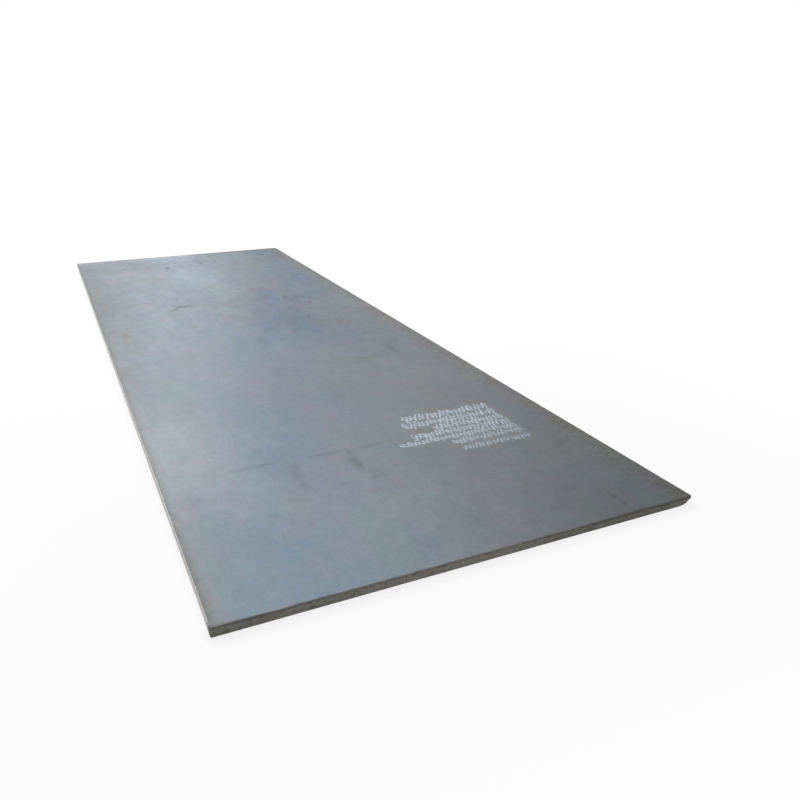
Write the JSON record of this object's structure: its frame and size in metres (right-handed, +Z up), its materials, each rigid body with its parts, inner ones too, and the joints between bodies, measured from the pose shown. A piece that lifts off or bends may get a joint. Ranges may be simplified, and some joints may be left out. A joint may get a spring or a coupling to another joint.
{
  "type": "steel plate",
  "caption": "Flat rectangular hot-rolled steel plate with mill scale on its faces and sheared edges, lying flat.",
  "frame": {"origin": "centre of the underside, on the floor that the plate lies on", "axes": "+X across the width, +Y along the length, +Z up through the thickness"},
  "size_m": [2, 6, 0.038],
  "materials": {
    "mill_scale": "satin"
  },
  "bodies": {
    "root": {"steel_plate": "mill_scale"}
  },
  "joints": []
}
